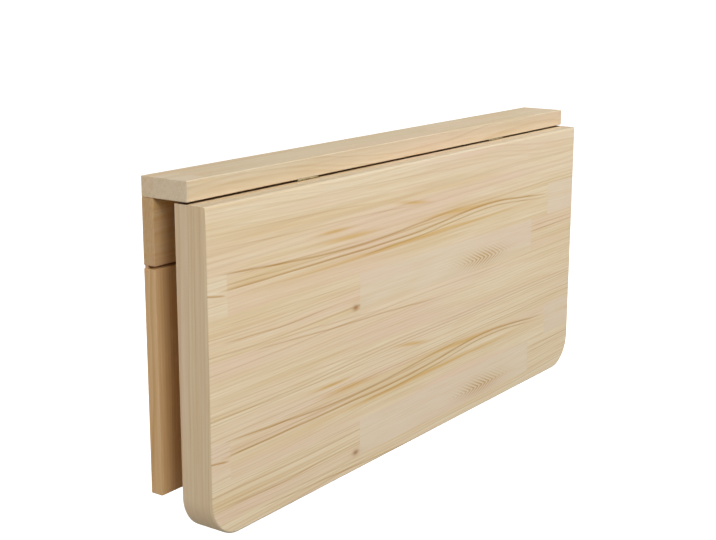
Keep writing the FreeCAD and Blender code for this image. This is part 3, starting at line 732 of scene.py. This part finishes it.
@dataclass
class Leaf:
    """The drop leaf: its glued-up front board and the border of battens behind it."""

    corner: float = 55.0 * MM
    face_radius: float = 3.5 * MM
    seam_radius: float = 0.25 * MM
    back_radius: float = 2.0 * MM
    corner_steps: int = 24
    pitch: float = 55.0 * MM
    first: float = 35.0 * MM

    def rows(self, low: float, high: float) -> list:
        """Rows of staves from the leaf's top down, returned from the lowest up."""
        wide = ((), (0.02,), (0.70,))
        lined = ((-0.461, 0.403), (0.12, 0.00, 0.42), (0.40, 0.50, 0.15))
        mixed = ((-0.172, 0.344), (0.00, 0.36, 0.02), (0.70, 0.20, 0.50))
        plain = ((), (0.03,), (0.70,))
        calm = ((), (0.06,), (0.30,))
        plans = [calm, wide, lined, mixed, plain, wide, lined, mixed, plain]
        rows = []
        top = high
        bottom = high - self.first
        for joints, tones, rings in plans:
            rows.append(Row(max(bottom, low), top, joints, tones, rings))
            top = bottom
            bottom = top - self.pitch
        return [row for row in reversed(rows) if row.high > low]

    def board(self, *finishes: Material) -> Object:
        """Front board cut into staves; its finishes are for its face, its edge and its top, where a
        darker copy paints shade.
        """
        low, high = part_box("leaf_board")
        outline = rounded_outline(high.x, low.z, high.z, self.corner, self.corner_steps)
        slab = Slab(outline, low.y, high.y, self.face_radius, self.seam_radius)
        work = slab.shape()
        rows = self.rows(low.z, high.z)
        cut_staves(work, rows, Z)
        piece = to_object("leaf_front_board", work, *finishes)
        paint_staves(piece.data, rows, Z)
        EdgeRun(high.x, low.z, high.z, self.corner).lay(piece.data)
        even_shading(piece)
        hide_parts("leaf_board")
        return piece

    def battens(self, upright: Sequence[Material], along: Sequence[Material],
                screws: Object) -> list:
        """Four battens behind the board, countersunk for the screws that hold them.

        Args:
            upright: Finishes of a side batten: its faces, its outer edge, and a dark copy that paints
                shade on its top under the shelf.
            along: Finishes of a long batten: its faces, and a dark copy that paints shade on its top
                under the shelf.
            screws: CAD object of the screws.

        Returns:
            The four pieces.
        """
        low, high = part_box("leaf_left_batten")
        turn = arc((low.x + self.corner, low.z + self.corner), self.corner, math.pi,
                   self.corner_steps)
        foot = [(high.x, low.z)] * (abs(high.x - low.x - self.corner) > WELD)
        outline = [(low.x, high.z), *turn, *foot, (high.x, high.z)]
        run = EdgeRun(-low.x, low.z, high.z, self.corner)
        pieces = []
        for name, sign in (("left", 1.0), ("right", -1.0)):
            turned = [(sign * x, z) for x, z in outline]
            pieces.append(self.batten(name, turned, (sign * high.x,), upright, screws, run))
        for name in ("top", "bottom"):
            low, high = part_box(f"leaf_{name}_batten")
            outline = [(low.x, high.z), (low.x, low.z), (high.x, low.z), (high.x, high.z)]
            pieces.append(self.batten(name, outline, (low.x, high.x), along, screws))
        return pieces

    def batten(self, name: str, outline: list, plain: tuple, finishes: Sequence[Material],
               screws: Object, run: Optional["EdgeRun"] = None) -> Object:
        """One batten; its last finish paints shade on the part of its top under the shelf, and a run
        maps its share of the edge.
        """
        low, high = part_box(f"leaf_{name}_batten")
        slab = Slab(outline, low.y, high.y, self.seam_radius, self.back_radius, plain=plain)
        piece = to_object(f"leaf_{name}_border", cut_at_shade_line(slab.shape()), *finishes)
        if run is not None:
            run.lay(piece.data)
        paint_shade_under_shelf(piece.data)
        sink_holes(piece, screws)
        even_shading(piece)
        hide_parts(f"leaf_{name}_batten")
        return piece


def cut_at_shade_line(work: BMesh) -> BMesh:
    """Cut a batten's surface in line with the shelf's front edge, where the hinges turn and the
    painted shade under the shelf begins.
    """
    slice_faces(work, work.faces, Y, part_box("shelf_board")[0].y)
    return work


def paint_shade_under_shelf(mesh: Mesh) -> None:
    """Paint shade on the part of a batten's top that hangs under the shelf, with the mesh's last
    finish, a dark copy of the pine.
    """
    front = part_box("shelf_board")[0].y
    for face in mesh.polygons:
        if face.normal.z > FACES_UP:
            face.material_index = len(mesh.materials) - 1 if face.center.y > front else 0


@dataclass
class EdgeRun:
    """Lays a UV map whose U runs round the leaf's edge and V goes through it.

    The right half counts back from far, a length beyond the whole edge.
    """

    half: float
    low: float
    high: float
    radius: float
    far: float = 2.5
    flat: float = 0.9

    def along(self, x: float, z: float) -> float:
        """Distance round the edge from the upper left corner."""
        straight = self.high - self.low - self.radius
        centre = self.half - self.radius
        if abs(x) <= centre:
            run = straight + QUARTER * self.radius + centre - abs(x)
        elif z < self.low + self.radius:
            run = straight + math.atan2(self.low + self.radius - z, abs(x) - centre) * self.radius
        else:
            run = self.high - z
        return run if x < 0.0 else self.far - run

    def lay(self, mesh: Mesh) -> None:
        """Write the map, and give the edge the second finish and the top the third."""
        layer = mesh.uv_layers.new(name=EDGE_UV)
        for face in mesh.polygons:
            if abs(face.normal.y) < self.flat:
                # The third finish is painted shade: on the board a darker top, on a side batten the
                # dark gap colour, which later stays only where the top lies under the shelf.
                face.material_index = 1 if face.normal.z < FACES_UP else 2
            for corner in face.loop_indices:
                place = mesh.vertices[mesh.loops[corner].vertex_index].co
                layer.data[corner].uv = (self.along(place.x, place.z), place.y)


@dataclass
class WallSide:
    """The fixed shelf, with the seam between its two rows of staves."""

    edge_radius: float = 1.4 * MM
    seam: float = -21.0 * MM

    def shelf(self, finish: Material) -> Object:
        """Shelf board of two rows of staves, eased except where it meets the wall."""
        low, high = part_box("shelf_board")
        work = bmesh.new()
        bmesh.ops.create_cube(work, size=1.0)
        bmesh.ops.scale(work, verts=work.verts, vec=high - low)
        bmesh.ops.translate(work, verts=work.verts, vec=(low + high) / 2.0)
        edges = [e for e in work.edges if not all(abs(v.co.y - high.y) < SAME for v in e.verts)]
        bmesh.ops.bevel(work, geom=edges, offset=self.edge_radius, segments=4, profile=0.5,
                        affect="EDGES")
        rows = [Row(low.y, self.seam, (-0.460, 0.105, 0.398), (0.16, -0.06, 0.04, 0.12),
                    (0.22, 0.34, 0.28, 0.26)),
                Row(self.seam, high.y, (-0.21, 0.26), (-0.05, 0.06, 0.0), (0.5, 0.4, 0.5))]
        cut_staves(work, rows, Y)
        piece = to_object("shelf_top_board", work, finish)
        paint_staves(piece.data, rows, Y)
        even_shading(piece)
        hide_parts("shelf_board")
        return piece


# ---- screws
@dataclass(frozen=True)
class Seat:
    """Where one screw's head sits, which way its head faces, and its sizes."""

    place: Vector
    facing: Vector
    head: float
    shank: float
    length: float

    @classmethod
    def read(cls, points: Sequence[Vector]) -> "Seat":
        """Measure one screw from the corners of its solid."""
        low, high = corners(points)
        axis = max(AXES, key=lambda k: high[k] - low[k])
        middle = (low + high) / 2.0

        def breadth(level: float) -> float:
            """Largest distance from the axis at one end."""
            aside = [k for k in AXES if k != axis]
            return max(math.dist([p[k] for k in aside], [middle[k] for k in aside])
                       for p in points if abs(p[axis] - level) < AT_END)
        ends = {level: breadth(level) for level in (low[axis], high[axis])}
        top = max(ends, key=ends.get)
        facing = Vector((0.0, 0.0, 0.0))
        facing[axis] = 1.0 if top == high[axis] else -1.0
        place = middle.copy()
        place[axis] = top
        head = ends[top]
        return cls(place, facing, head, head / 2.0, high[axis] - low[axis])


@dataclass(frozen=True)
class ScrewShape:
    """A countersunk cross-recessed wood screw, head up at the origin.

    The rim and the recess are given as shares of the head's radius, and the thread's
    depth and the point's length by the shank's.
    """

    head: float
    shank: float
    length: float
    turns: int = 40
    rings: int = 18
    rim: float = 0.985
    rim_drop: float = 0.04
    recess_reach: float = 0.56
    recess_half_width: float = 0.1755
    recess_wall: float = 0.0585
    recess_lip: float = 0.05
    recess_depth: float = 0.48
    recess_rise: float = 0.65
    thread_pitch: float = 1.8 * MM
    thread_depth: float = 0.12
    point_length: float = 2.0
    hole_room: float = 0.06 * MM
    hole_depth: float = 3.0

    def dip(self, x: float, y: float) -> float:
        """Depth of the cross at a point, as shares of the head's radius."""
        deepest = 0.0
        for along, aside in ((abs(x), abs(y)), (abs(y), abs(x))):
            if along < self.recess_reach and aside < self.recess_half_width:
                wall = min(1.0, (self.recess_half_width - aside) / self.recess_wall)
                floor = 1.0 - self.recess_rise * along / self.recess_reach
                lip = min(1.0, (self.recess_reach - along) / self.recess_lip)
                deepest = max(deepest, wall * floor * lip)
        return deepest * self.recess_depth

    def hole(self) -> list:
        """Half profile of the countersunk hole it sits in, as (radius, height) pairs."""
        head, shank = self.head + self.hole_room, self.shank + self.hole_room
        deep = self.head - self.shank
        end = -self.hole_depth * deep
        return [(0.0, deep), (head, deep), (head, 0.0), (shank, -deep), (shank, end), (0.0, end)]

    def mesh(self) -> Mesh:
        """Head face, countersink, threaded shank and point."""
        profile = [(self.head * (k + 1) / self.rings * self.rim, 0.0) for k in range(self.rings)]
        profile.append((self.head, -self.rim_drop * self.head))
        sink = self.head - self.shank
        profile.append((self.shank, -sink))
        steps = max(8, int((self.length - sink) / self.thread_pitch) * 2)
        tip = self.length - self.shank * self.point_length
        for k in range(1, steps):
            down = sink + (tip - sink) * k / steps
            profile.append((self.shank * (1.0 - self.thread_depth * (k % 2)), -down))
        work = bmesh.new()
        crown = work.verts.new((0.0, 0.0, -self.dip(0.0, 0.0) * self.head))
        rows = []
        for radius, level in profile:
            row = []
            for k in range(self.turns):
                angle = 2.0 * math.pi * k / self.turns
                x, y = radius * math.cos(angle), radius * math.sin(angle)
                dip = self.dip(x / self.head, y / self.head) * self.head if level == 0.0 else 0.0
                row.append(work.verts.new((x, y, level - dip)))
            rows.append(row)
        point = work.verts.new((0.0, 0.0, -self.length))
        for k in range(self.turns):
            work.faces.new((crown, rows[0][k - 1], rows[0][k]))
            work.faces.new((point, rows[-1][k], rows[-1][k - 1]))
        skin(work, rows)
        bmesh.ops.recalc_face_normals(work, faces=work.faces)
        return settle(work, bpy.data.meshes.new("screw_shape"))


class ScrewField:
    """Geometry Nodes group that sets one screw on each seat, each turned its own way."""

    def __init__(self) -> None:
        """Write the group with its named inputs."""
        self.tree = bpy.data.node_groups.new("screw_field", "GeometryNodeTree")
        face = self.tree.interface
        self.sockets = {}
        for name, kind in (("Seats", "NodeSocketGeometry"), ("Screw", "NodeSocketObject"),
                           ("Turn Seed", "NodeSocketInt"), ("Finish", "NodeSocketMaterial")):
            self.sockets[name] = face.new_socket(name, in_out="INPUT", socket_type=kind).identifier
        face.new_socket("Screws", in_out="OUTPUT", socket_type="NodeSocketGeometry")
        start = self._node("NodeGroupInput")
        shape = self._node("GeometryNodeObjectInfo")
        aim = self._node("GeometryNodeInputNamedAttribute", data_type="FLOAT_VECTOR")
        align = self._node("FunctionNodeAlignRotationToVector", axis="Z")
        chance = self._node("FunctionNodeRandomValue", data_type="FLOAT")
        spin = self._node("FunctionNodeAxisAngleToRotation")
        turn = self._node("FunctionNodeRotateRotation", rotation_space="LOCAL")
        place = self._node("GeometryNodeInstanceOnPoints")
        real = self._node("GeometryNodeRealizeInstances")
        coat = self._node("GeometryNodeSetMaterial")
        end = self._node("NodeGroupOutput")
        aim.inputs["Name"].default_value = "facing"
        most = next(into for into in chance.inputs if into.enabled and into.name == "Max")
        most.default_value = math.pi
        angle = next(out for out in chance.outputs if out.enabled)
        self.tree.links.new(angle, spin.inputs["Angle"])
        for source, out, target, into in (
                (start, "Screw", shape, "Object"), (start, "Turn Seed", chance, "Seed"),
                (aim, "Attribute", align, "Vector"), (align, "Rotation", turn, "Rotation"),
                (spin, "Rotation", turn, "Rotate By"), (start, "Seats", place, "Points"),
                (shape, "Geometry", place, "Instance"), (turn, "Rotation", place, "Rotation"),
                (place, "Instances", real, "Geometry"), (real, "Geometry", coat, "Geometry"),
                (start, "Finish", coat, "Material"), (coat, "Geometry", end, "Screws")):
            self.tree.links.new(source.outputs[out], target.inputs[into])

    def _node(self, kind: str, **settings: object) -> Node:
        """Add one node with its settings."""
        node = self.tree.nodes.new(kind)
        for name, value in settings.items():
            setattr(node, name, value)
        return node

    def set(self, solid: Object, material: Material, seed: int) -> Object:
        """Make the screws of one node.

        Args:
            solid: CAD object that holds the plain screws.
            material: Their finish.
            seed: Seed of the turns of their heads.

        Returns:
            One plain mesh object.
        """
        seats = read_seats(solid)
        first = seats[0]
        shape = add_object("screw_source", ScrewShape(first.head, first.shank, first.length).mesh())
        cloud = bpy.data.meshes.new("screw_seats")
        cloud.from_pydata([seat.place for seat in seats], [], [])
        facing = cloud.attributes.new("facing", "FLOAT_VECTOR", "POINT")
        for entry, seat in zip(facing.data, seats):
            entry.vector = seat.facing
        carrier = add_object("screw_carrier", cloud)
        field = carrier.modifiers.new("screws", "NODES")
        field.node_group = self.tree
        for name, value in (("Screw", shape), ("Turn Seed", seed), ("Finish", material)):
            field[self.sockets[name]] = value
        graph = bpy.context.evaluated_depsgraph_get()
        mesh = bpy.data.meshes.new_from_object(carrier.evaluated_get(graph))
        for helper in (carrier, shape):
            bpy.data.objects.remove(helper)
        piece = add_object(solid.name.replace("_screws", "_cross_screws"), mesh)
        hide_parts(solid.name)
        return piece


def read_seats(solid: Object) -> list:
    """Seats of every loose solid in one CAD object."""
    work = bmesh.new()
    work.from_mesh(solid.data)
    bmesh.ops.remove_doubles(work, verts=work.verts, dist=WELD)
    left = set(work.verts)
    seats = []
    while left:
        stack = [left.pop()]
        group = []
        while stack:
            vert = stack.pop()
            group.append(solid.matrix_world @ vert.co)
            for edge in vert.link_edges:
                other = edge.other_vert(vert)
                if other in left:
                    left.remove(other)
                    stack.append(other)
        seats.append(Seat.read(group))
    work.free()
    return sorted(seats, key=lambda seat: tuple(round(v, 5) for v in seat.place))


def sink_holes(piece: Object, solid: Object) -> None:
    """Cut a countersunk hole in a made piece for each screw of a CAD object that starts on it.

    Args:
        piece: Piece with solid walls; its mesh is changed.
        solid: CAD object that holds the plain screws.
    """
    low, high = corners([v.co for v in piece.data.vertices])
    work = bmesh.new()
    for seat in read_seats(solid):
        if not all(low[k] - MM < seat.place[k] < high[k] + MM for k in AXES):
            continue
        turn = seat.facing.to_track_quat("Z", "Y").to_matrix().to_4x4()
        profile = [work.verts.new((radius, 0.0, rise))
                   for radius, rise in ScrewShape(seat.head, seat.shank, seat.length).hole()]
        edges = [work.edges.new(pair) for pair in zip(profile, profile[1:])]
        bmesh.ops.spin(work, geom=profile + edges, cent=(0.0, 0.0, 0.0), axis=(0.0, 0.0, 1.0),
                       angle=2.0 * math.pi, steps=ScrewShape.turns)
        made = [v for v in work.verts if not v.tag]
        bmesh.ops.transform(work, matrix=Matrix.Translation(seat.place) @ turn, verts=made)
        for vert in made:
            vert.tag = True
    bmesh.ops.remove_doubles(work, verts=work.verts, dist=SAME)
    bmesh.ops.recalc_face_normals(work, faces=work.faces)
    drill = to_object("screw_drill", work)
    cut = piece.modifiers.new("screw_holes", "BOOLEAN")
    cut.operation = "DIFFERENCE"
    cut.solver = "EXACT"
    cut.object = drill
    graph = bpy.context.evaluated_depsgraph_get()
    mesh = bpy.data.meshes.new_from_object(piece.evaluated_get(graph))
    piece.modifiers.clear()
    bpy.data.objects.remove(drill)
    work = bmesh.new()
    work.from_mesh(mesh)
    piece.data = settle(work, mesh)


def dress(nodes: dict, material: Material, *endings: str) -> None:
    """Give one finish to the CAD nodes whose names end in one of some ways."""
    for name in [name for name in nodes if name.endswith(endings)]:
        mesh = nodes[name].data
        mesh.materials.clear()
        mesh.materials.append(material)
        LOG.info("dressed %s with %s", name, material.name)


# ---- floor, light and camera
@dataclass(frozen=True)
class Softbox:
    """A square area light."""

    name: str
    place: tuple
    size: float
    power: float
    tint: tuple = (1.0, 1.0, 1.0)

    def hang(self, target: Vector) -> None:
        """Hang the light so that it faces the target."""
        data = bpy.data.lights.new(self.name, "AREA")
        data.shape = "SQUARE"
        data.size = self.size
        data.energy = self.power
        data.color = self.tint
        lamp = add_object(self.name, data)
        lamp.location = self.place
        lamp.rotation_euler = (target - Vector(self.place)).to_track_quat("-Z", "Y").to_euler()


@dataclass
class Studio:
    """Plain pale floor, soft light and the camera."""

    floor_drop: float = 0.75
    floor_radius: float = 3.6
    cove_radius: float = 1.6
    cove_height: float = 6.0
    cove_sides: int = 96
    cove_steps: int = 12
    camera_place: tuple = (-1.67598, -1.16648, 0.33004)
    azimuth: float = -54.658
    elevation: float = 13.077
    roll: float = 0.148
    focal_pixels: float = 1322.4
    frame_width: int = 716
    sensor_width: float = 36.0
    sky_fade: tuple = (-0.7, 0.1)
    sky: float = 0.11
    low_sky: float = 0.27
    softboxes: tuple = (
        Softbox("key_light", (2.3, -2.2, 2.7), 1.8, 131.0),
        Softbox("fill_light", (-1.7, -2.8, 1.6), 1.6, 63.0),
        Softbox("left_light", (-2.6, 1.1, -0.3), 1.6, 22.0, (1.0, 0.95, 0.88)),
        Softbox("back_light", (-0.2, 3.0, 2.3), 1.8, 50.0),
    )

    def floor(self, shelf_top: float) -> None:
        """Lay a round floor at a table's height below the top, swept up into a wall all round."""
        level = shelf_top - self.floor_drop
        sweep = arc((self.floor_radius, self.cove_radius), self.cove_radius, -QUARTER, self.cove_steps)
        profile = [(self.floor_radius / 2.0, 0.0), *sweep, (sweep[-1][0], self.cove_height)]
        work = bmesh.new()
        rings = []
        turns = [2.0 * math.pi * k / self.cove_sides for k in range(self.cove_sides)]
        for radius, rise in profile:
            rings.append([work.verts.new((radius * math.cos(t), radius * math.sin(t), level + rise))
                          for t in turns])
        work.faces.new(rings[0])
        skin(work, rings)
        floor = to_object("floor", work, Stage("pale_floor", level=0.95, glow=0.80).build())
        floor.visible_diffuse = False
        floor.visible_glossy = False
        floor.visible_shadow = False
        floor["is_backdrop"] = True

    def light(self, target: Vector) -> None:
        """Set an even white sky, brighter below as over a pale floor, and hang the softboxes."""
        world = bpy.data.worlds.new("soft_sky")
        world.use_nodes = True
        nodes = world.node_tree.nodes
        links = world.node_tree.links
        place = nodes.new("ShaderNodeTexCoord")
        parts = nodes.new("ShaderNodeSeparateXYZ")
        fade = nodes.new("ShaderNodeMapRange")
        fade.interpolation_type = "SMOOTHSTEP"
        for name, value in (("From Min", self.sky_fade[0]), ("From Max", self.sky_fade[1]),
                            ("To Min", self.low_sky), ("To Max", self.sky)):
            fade.inputs[name].default_value = value
        links.new(place.outputs["Generated"], parts.inputs[0])
        links.new(parts.outputs["Z"], fade.inputs["Value"])
        nodes["Background"].inputs["Color"].default_value = WHITE
        links.new(fade.outputs[0], nodes["Background"].inputs["Strength"])
        bpy.context.scene.world = world
        for softbox in self.softboxes:
            softbox.hang(target)

    def camera(self) -> None:
        """Stand the camera to the left of the table and a little above it."""
        data = bpy.data.cameras.new("camera")
        data.sensor_width = self.sensor_width
        data.lens = self.focal_pixels / self.frame_width * data.sensor_width
        data.dof.use_dof = False
        turn, rise = math.radians(self.azimuth), math.radians(self.elevation)
        level = math.cos(rise)
        back = Vector((math.sin(turn) * level, -math.cos(turn) * level, math.sin(rise)))
        camera = add_object("camera", data)
        camera.rotation_mode = "QUATERNION"
        spin = Matrix.Rotation(math.radians(self.roll), 4, "Z").to_quaternion()
        camera.rotation_quaternion = (-back).to_track_quat("-Z", "Y") @ spin
        camera.location = self.camera_place
        bpy.context.scene.camera = camera


def report(pieces: Iterable[Object], body: str) -> None:
    """Let pieces ride on a body, and log each."""
    for piece in pieces:
        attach(piece, body)
        LOG.info("%s rides on %s", piece.name, body)


def main() -> None:
    """Build the table's pieces, the stage and the camera, in order."""
    logging.basicConfig(level=logging.INFO, format="%(name)s: %(message)s")
    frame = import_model()
    cad_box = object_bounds()
    nodes = frame["nodes"]
    leaf = Leaf()
    board_low, board_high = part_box("leaf_board")
    pattern = Pattern(board_high.z - leaf.first)
    board_pine = Pine("pine_staves", Grain.ALONG, pale=rgb(243, 226, 195), warm=rgb(224, 193, 141),
                      pink=rgb(240, 213, 190), staves=True, pattern=pattern,
                      face=board_low.y).build()
    shelf_pine = Pine("pine_shelf", Grain.ALONG, pale=rgb(225, 209, 180), warm=rgb(207, 179, 135),
                      staves=True).build()
    lipping = Pine("pine_lipping", Grain.ROUND_EDGE, contrast=0.7, seed=0.61).build()
    border_edge = Pine("pine_border_edge", Grain.ROUND_EDGE, contrast=0.8, seed=0.34).build()
    # Painted shade: a dark copy of the pine for the batten tops in the gap under the shelf, where
    # shade falls.
    painted_gap_shade = Pine("pine_hinge_edge", Grain.ALONG, pale=rgb(104, 78, 52), warm=rgb(88, 64, 40),
                      pink=rgb(100, 76, 52), late=rgb(70, 50, 32), contrast=0.5, seed=0.47).build()
    upright = Pine("pine_upright", Grain.UPRIGHT, contrast=0.9, seed=0.23).build()
    along = Pine("pine_along", Grain.ALONG, contrast=0.8, seed=0.47).build()
    # Painted shade: darker, warmer copies of the pine for the wall rail and stiles, which sit in the
    # shadow behind the leaf.
    wall_along_shaded = Pine("pine_wall_along", Grain.ALONG, pale=rgb(207, 174, 129), warm=rgb(190, 145, 92),
                      pink=rgb(208, 172, 132), contrast=0.8, seed=0.71).build()
    wall_upright_shaded = Pine("pine_wall_upright", Grain.UPRIGHT, pale=rgb(221, 186, 138),
                        warm=rgb(205, 156, 100), pink=rgb(222, 186, 143), contrast=0.7,
                        seed=0.23).build()
    beech = Pine("beech_sanded", Grain.UPRIGHT, pale=rgb(214, 172, 128), warm=rgb(196, 150, 106),
                 pink=rgb(212, 166, 128), late=rgb(168, 118, 76), ring=0.0021, contrast=0.25).build()
    bronzed = Metal("bronzed_steel", rgb(160, 146, 113), rgb(136, 122, 92), 0.55).build()
    zinc = Metal("zinc_plate", rgb(186, 190, 194), rgb(150, 152, 154), 0.36).build()
    bright = Metal("bright_steel", rgb(200, 202, 204), rgb(168, 170, 172), 0.22, 0.1).build()
    # Painted shade: a darker, duller copy of the board's pine for the leaf's top, which the light from
    # above makes brighter than its face.
    shaded_leaf_top = Pine("pine_leaf_top", Grain.ALONG, pale=rgb(226, 212, 186), warm=rgb(208, 186, 149),
                    contrast=0.5, seed=0.47).build()

    battens = leaf.battens((upright, border_edge, painted_gap_shade), (along, painted_gap_shade),
                           nodes["batten_screws"])
    report([leaf.board(board_pine, lipping, shaded_leaf_top), *battens], "leaf")
    report([WallSide().shelf(shelf_pine)], "wall_side")
    dress(nodes, wall_along_shaded, "wall_rail")
    dress(nodes, wall_upright_shaded, "_wall_stile")
    dress(nodes, along, "stay_rail")
    dress(nodes, upright, "_stay_arm")
    dress(nodes, beech, "_rest_block", "_dowels", "_slats")
    dress(nodes, bronzed, "_plate", "_hinge_pin")
    dress(nodes, zinc, "_brace", "_bracket")
    dress(nodes, bright, "_pivot_pin", "_bolt")
    field = ScrewField()
    screws = {"wall_side": ("corner_brace_screws", "rest_block_screws", "hinge_shelf_screws"),
              "leaf": ("hinge_leaf_screws", "batten_screws", "stay_bracket_screws")}
    for body, names in screws.items():
        finish = {name: bronzed if "hinge" in name else zinc for name in names}
        report([field.set(nodes[name], finish[name], seed) for seed, name in enumerate(names)], body)

    studio = Studio()
    low, high = cad_box
    studio.floor(high.z)
    studio.light((low + high) / 2.0)
    studio.camera()
    bpy.context.scene.view_settings.view_transform = "Standard"


if __name__ == "__main__":
    main()
